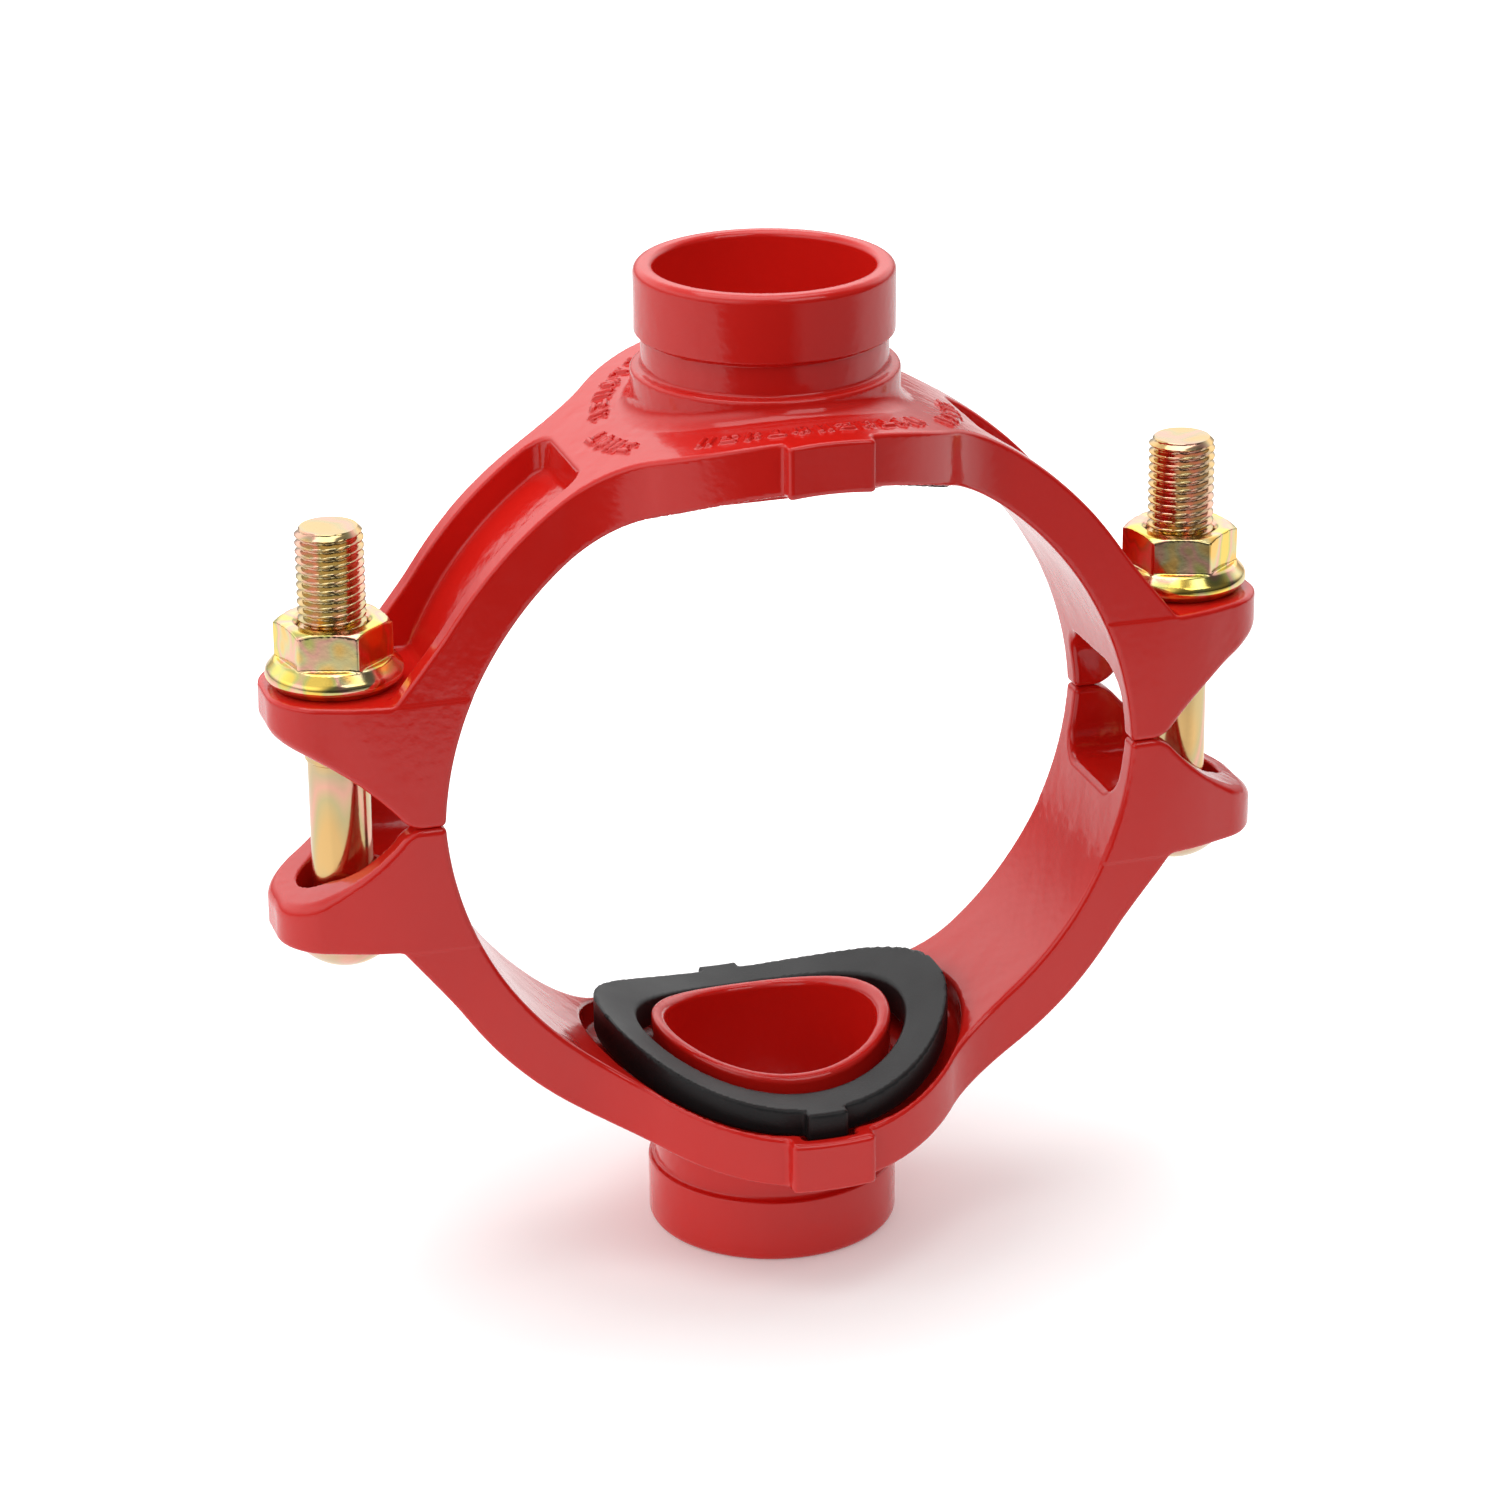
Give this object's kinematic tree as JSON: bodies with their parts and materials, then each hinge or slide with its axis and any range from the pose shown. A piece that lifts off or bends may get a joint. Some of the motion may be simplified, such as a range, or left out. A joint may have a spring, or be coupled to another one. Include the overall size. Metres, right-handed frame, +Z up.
{
  "type": "mechanical cross pipe coupling",
  "caption": "Red bolted pipe cross: two saddle castings clamp round a run pipe, each with a grooved outlet and a rubber saddle gasket.",
  "frame": {"origin": "centre of the run pipe, on the parting plane midway between the two bolts; also the centre of the bounding box", "axes": "+Z up along the upper outlet, +Y along the run pipe, +X towards the right-hand bolt"},
  "size_m": [0.2424, 0.101, 0.24],
  "materials": {
    "red_enamel": "glossy red enamel over ductile iron casting",
    "black_rubber": "matte black EPDM",
    "yellow_zinc": "yellow passivated zinc plating on steel"
  },
  "bodies": {
    "lower_half": {"housing_lower": "red_enamel"},
    "upper_half": {"housing_upper": "red_enamel"},
    "lower_gasket": {"gasket_lower": "black_rubber"},
    "upper_gasket": {"gasket_upper": "black_rubber"},
    "left_bolt": {"bolt_left": "yellow_zinc"},
    "right_bolt": {"bolt_right": "yellow_zinc"},
    "left_nut": {"nut_left": "yellow_zinc"},
    "right_nut": {"nut_right": "yellow_zinc"}
  },
  "joints": [
    {"name": "halves_apart", "type": "slide", "parent": "lower_half", "child": "upper_half", "axis": [0, 0, 1], "range_m": [0, 0.056]},
    {"name": "nut_left_turn", "type": "hinge", "parent": "upper_half", "child": "left_nut", "pos_m": [-0.1036, 0, 0.038], "axis": [0, 0, 1], "range_deg": [0, 10090]},
    {"name": "nut_right_turn", "type": "hinge", "parent": "upper_half", "child": "right_nut", "pos_m": [0.1036, 0, 0.038], "axis": [0, 0, 1], "range_deg": [0, 10090]},
    {"name": "bolt_left_out", "type": "slide", "parent": "lower_half", "child": "left_bolt", "axis": [0, 0, -1], "range_m": [0, 0.1]},
    {"name": "bolt_right_out", "type": "slide", "parent": "lower_half", "child": "right_bolt", "axis": [0, 0, -1], "range_m": [0, 0.1]},
    {"name": "gasket_lower_out", "type": "slide", "parent": "lower_half", "child": "lower_gasket", "axis": [0, 0, 1], "range_m": [-0.0041, 0.03]},
    {"name": "gasket_upper_out", "type": "slide", "parent": "upper_half", "child": "upper_gasket", "axis": [0, 0, -1], "range_m": [0, 0.03]}
  ],
  "couplings": [
    {"joint": "nut_left_turn", "follows": "halves_apart", "rad_per_m": 3141.6},
    {"joint": "nut_right_turn", "follows": "halves_apart", "rad_per_m": 3141.6}
  ]
}
